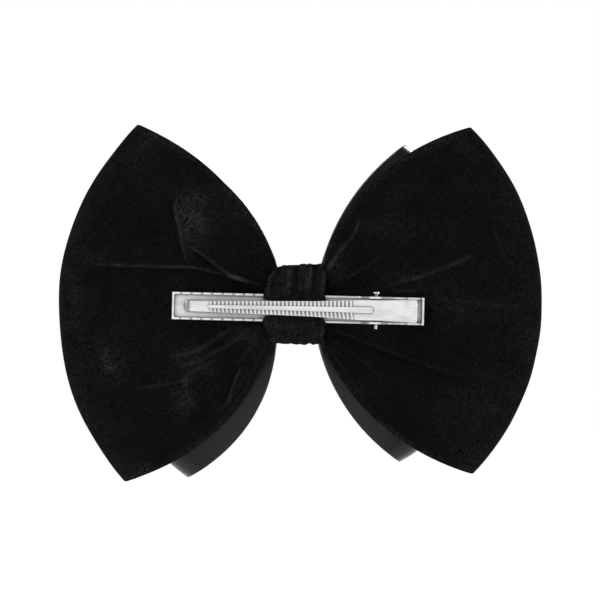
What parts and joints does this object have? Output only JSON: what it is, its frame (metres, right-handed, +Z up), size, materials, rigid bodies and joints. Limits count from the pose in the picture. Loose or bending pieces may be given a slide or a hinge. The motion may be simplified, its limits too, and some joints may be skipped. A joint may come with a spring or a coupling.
{
  "type": "hair bow",
  "caption": "Large two-tier black velvet and satin hair bow on a sprung metal alligator clip.",
  "frame": {"origin": "middle of the clip base's gripping face, the inner face of its floor, at mount jaw_grip", "axes": "+X along the clip from its tip to its handle, and the bow's width; +Y away from the wearer's head, towards the bow's show side; +Z up as worn"},
  "size_m": [0.1538, 0.0435, 0.1148],
  "materials": {
    "velvet": "deep pile",
    "satin": "soft sheen",
    "lining": "matte",
    "thread": "matte",
    "clip_steel": "bright plate",
    "pin_steel": "bright plate",
    "spring_steel": "drawn",
    "glue": "set glue"
  },
  "bodies": {
    "bow": {"clip_base": "clip_steel", "hinge_pin": "pin_steel", "leaf_spring": "spring_steel", "clip_glue": "glue", "tier_glue": "glue", "rear_pinch": "velvet", "rear_thread": "thread", "front_pinch": "satin", "front_thread": "thread", "centre_band": "velvet", "rear_loop_left": "velvet", "rear_loop_right": "velvet", "rear_lining_left": "lining", "rear_lining_right": "lining", "front_loop_left": "satin", "front_loop_right": "satin", "front_lining_left": "lining", "front_lining_right": "lining"},
    "lever": {"clip_lever": "clip_steel"}
  },
  "joints": [
    {"name": "lever_open", "type": "hinge", "parent": "bow", "child": "lever", "pos_m": [0.0246, -0.0039, 0], "axis": [0, 0, 1], "range_deg": [0, 28], "stiffness_Nm_per_rad": 0.18, "springref_deg": -18.91, "deforming": ["leaf_spring"]}
  ]
}
